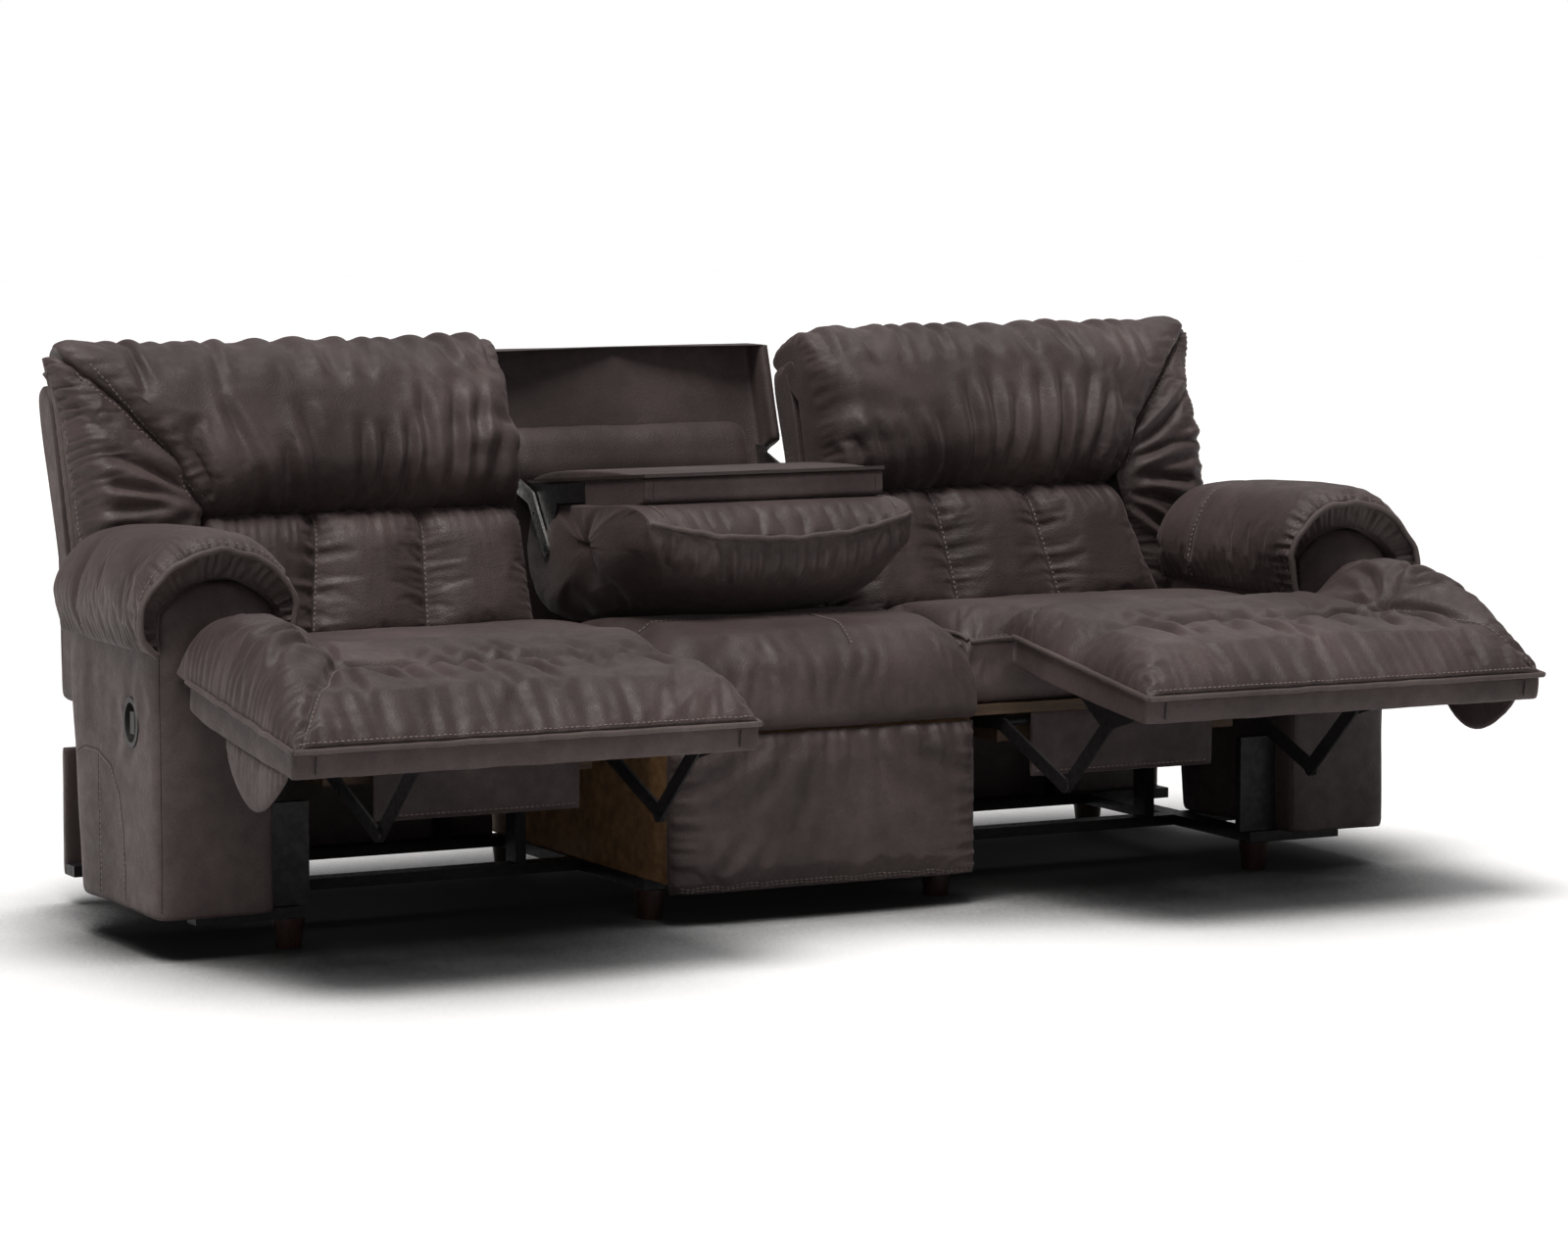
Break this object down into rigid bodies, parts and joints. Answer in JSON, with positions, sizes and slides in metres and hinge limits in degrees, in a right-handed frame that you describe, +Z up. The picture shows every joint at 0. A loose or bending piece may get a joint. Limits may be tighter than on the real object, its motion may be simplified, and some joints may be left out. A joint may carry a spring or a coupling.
{
  "type": "reclining sofa with drop down console",
  "caption": "Padded reclining sofa with fold-out footrests on linkages, tilting backs, and a middle back that folds down into a table with cup holders",
  "frame": {"origin": "on the floor under the middle of the sofa with its footrests out", "axes": "+X to the sofa's right end as seen from its front, +Z up, the front faces -Y"},
  "size_m": [2.352, 1.3232, 0.9657],
  "materials": {
    "upholstery": "matte",
    "plywood": "matte",
    "frame_timber": "matte",
    "foot_wood": "satin",
    "black_steel": "satin",
    "hinge_steel": "satin",
    "handle_plastic": "satin",
    "strap_web": "matte",
    "tray_board": "satin"
  },
  "bodies": {
    "base": {"base_frame": "black_steel", "console_front_panel": "upholstery", "console_hinge_bars": "hinge_steel", "console_seat_cushion": "upholstery", "console_seat_deck": "plywood", "console_side_frames": "plywood", "left_arm_cover": "upholstery", "left_arm_frame": "frame_timber", "left_arm_pad": "upholstery", "left_handle_bezel": "handle_plastic", "left_seat_runners": "black_steel", "lower_rear_panels": "upholstery", "rear_shell": "upholstery", "right_arm_cover": "upholstery", "right_arm_frame": "frame_timber", "right_arm_pad": "upholstery", "right_handle_bezel": "handle_plastic", "right_seat_runners": "black_steel", "table_bolster": "upholstery", "turned_feet": "foot_wood"},
    "folding_back": {"cup_holders": "handle_plastic", "folding_back_cushion": "upholstery", "folding_hinge_plates": "hinge_steel", "table_core": "upholstery", "table_tray": "tray_board"},
    "left_back": {"left_back_brackets": "black_steel", "left_back_cover": "upholstery", "left_back_frame": "frame_timber", "left_back_wing": "upholstery", "left_head_pillow": "upholstery", "left_lumbar_cushion": "upholstery"},
    "left_footrest": {"left_footrest_board": "upholstery", "left_footrest_brackets": "black_steel", "left_footrest_flap": "upholstery", "left_footrest_pad": "upholstery"},
    "left_seat": {"left_front_apron": "upholstery", "left_seat_cushion": "upholstery", "left_seat_frame": "frame_timber", "left_seat_plates": "black_steel", "left_seat_straps": "strap_web"},
    "left_front_links": {"left_front_links": "black_steel"},
    "left_rear_links": {"left_rear_links": "black_steel"},
    "left_lever": {"left_release_lever": "handle_plastic"},
    "right_back": {"right_back_brackets": "black_steel", "right_back_cover": "upholstery", "right_back_frame": "frame_timber", "right_back_wing": "upholstery", "right_head_pillow": "upholstery", "right_lumbar_cushion": "upholstery"},
    "right_footrest": {"right_footrest_board": "upholstery", "right_footrest_brackets": "black_steel", "right_footrest_flap": "upholstery", "right_footrest_pad": "upholstery"},
    "right_seat": {"right_front_apron": "upholstery", "right_seat_cushion": "upholstery", "right_seat_frame": "frame_timber", "right_seat_plates": "black_steel", "right_seat_straps": "strap_web"},
    "right_front_links": {"right_front_links": "black_steel"},
    "right_rear_links": {"right_rear_links": "black_steel"},
    "right_lever": {"right_release_lever": "handle_plastic"}
  },
  "joints": [
    {"name": "console_back_fold", "type": "hinge", "parent": "base", "child": "folding_back", "pos_m": [0, 0.3406, 0.59], "axis": [-1, 0, 0], "range_deg": [0, 103]},
    {"name": "left_seat_slide", "type": "slide", "parent": "base", "child": "left_seat", "axis": [0, -1, 0], "range_m": [0, 0.05]},
    {"name": "left_back_recline", "type": "hinge", "parent": "left_seat", "child": "left_back", "pos_m": [0, 0.3316, 0.335], "axis": [-1, 0, 0], "range_deg": [0, 28.01]},
    {"name": "left_footrest_fold", "type": "hinge", "parent": "left_seat", "child": "left_rear_links", "pos_m": [0, -0.1284, 0.3], "axis": [1, 0, 0], "range_deg": [0, 114.35]},
    {"name": "left_link_knee", "type": "hinge", "parent": "left_rear_links", "child": "left_front_links", "pos_m": [0, -0.3484, 0.215], "axis": [1, 0, 0], "range_deg": [-97.39, 0]},
    {"name": "left_footrest_turn", "type": "hinge", "parent": "left_front_links", "child": "left_footrest", "pos_m": [0, -0.4834, 0.335], "axis": [1, 0, 0], "range_deg": [0, 65.05], "deforming": ["left_footrest_flap"]},
    {"name": "left_release_pull", "type": "hinge", "parent": "base", "child": "left_lever", "pos_m": [-1.172, -0.05015, 0.376], "axis": [0, 0, 1], "range_deg": [0, 25], "stiffness_Nm_per_rad": 0.05},
    {"name": "right_seat_slide", "type": "slide", "parent": "base", "child": "right_seat", "axis": [0, -1, 0], "range_m": [0, 0.05]},
    {"name": "right_back_recline", "type": "hinge", "parent": "right_seat", "child": "right_back", "pos_m": [0, 0.3316, 0.335], "axis": [-1, 0, 0], "range_deg": [0, 28.01]},
    {"name": "right_footrest_fold", "type": "hinge", "parent": "right_seat", "child": "right_rear_links", "pos_m": [0, -0.1284, 0.3], "axis": [1, 0, 0], "range_deg": [0, 114.35]},
    {"name": "right_link_knee", "type": "hinge", "parent": "right_rear_links", "child": "right_front_links", "pos_m": [0, -0.3484, 0.215], "axis": [1, 0, 0], "range_deg": [-97.39, 0]},
    {"name": "right_footrest_turn", "type": "hinge", "parent": "right_front_links", "child": "right_footrest", "pos_m": [0, -0.4834, 0.335], "axis": [1, 0, 0], "range_deg": [0, 65.05], "deforming": ["right_footrest_flap"]},
    {"name": "right_release_pull", "type": "hinge", "parent": "base", "child": "right_lever", "pos_m": [1.172, -0.05015, 0.376], "axis": [0, 0, -1], "range_deg": [0, 25], "stiffness_Nm_per_rad": 0.05}
  ],
  "couplings": [
    {"joint": "left_back_recline", "follows": "left_seat_slide", "rad_per_m": 9.7738},
    {"joint": "left_link_knee", "follows": "left_footrest_fold", "ratio": -0.85166},
    {"joint": "left_footrest_turn", "follows": "left_footrest_fold", "ratio": 0.56878},
    {"joint": "right_back_recline", "follows": "right_seat_slide", "rad_per_m": 9.7738},
    {"joint": "right_link_knee", "follows": "right_footrest_fold", "ratio": -0.85166},
    {"joint": "right_footrest_turn", "follows": "right_footrest_fold", "ratio": 0.56878}
  ]
}
